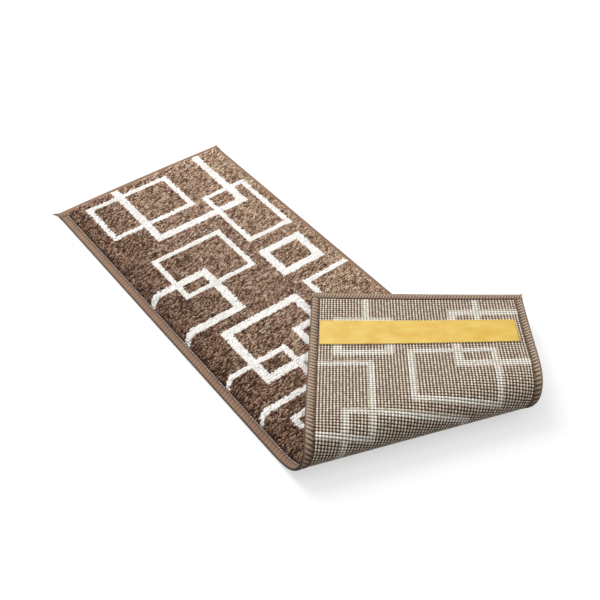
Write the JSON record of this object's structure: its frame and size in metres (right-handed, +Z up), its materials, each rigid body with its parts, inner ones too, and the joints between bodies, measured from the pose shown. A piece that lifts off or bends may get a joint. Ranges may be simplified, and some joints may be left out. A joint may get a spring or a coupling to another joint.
{
  "type": "stair tread mat",
  "caption": "Narrow woven cut-pile stair tread mat with a pattern of pale rectangles, serged edges and grip tape, one end folded over.",
  "frame": {"origin": "on the floor, under the middle of the folded mat's bounding box", "axes": "+Y along the mat from the folded end to the flat far end, +X across it to the right, +Z up"},
  "size_m": [0.3512, 0.5866, 0.0455],
  "materials": {
    "backing": "ribbed woven jute and polyester ground, matt",
    "pile": "brown cut pile, matt",
    "pale_pile": "off-white cut pile, matt",
    "pale_back": "off-white yarn on the back of the weave, matt",
    "edging": "brown serging thread, matt",
    "tape": "yellow release paper of an adhesive strip, satin"
  },
  "bodies": {
    "root": {"backing": "backing", "pile": "pile", "pale_pile_far": "pale_pile", "pale_pile_left": "pale_pile", "pale_pile_square": "pale_pile", "pale_pile_middle": "pale_pile", "pale_pile_fold": "pale_pile", "pale_back_fold": "pale_back", "pale_back_end": "pale_back", "edging_left": "edging", "edging_right": "edging", "edging_far": "edging", "edging_near": "edging", "tape_near_end": "tape", "tape_far_end": "tape"}
  },
  "joints": []
}
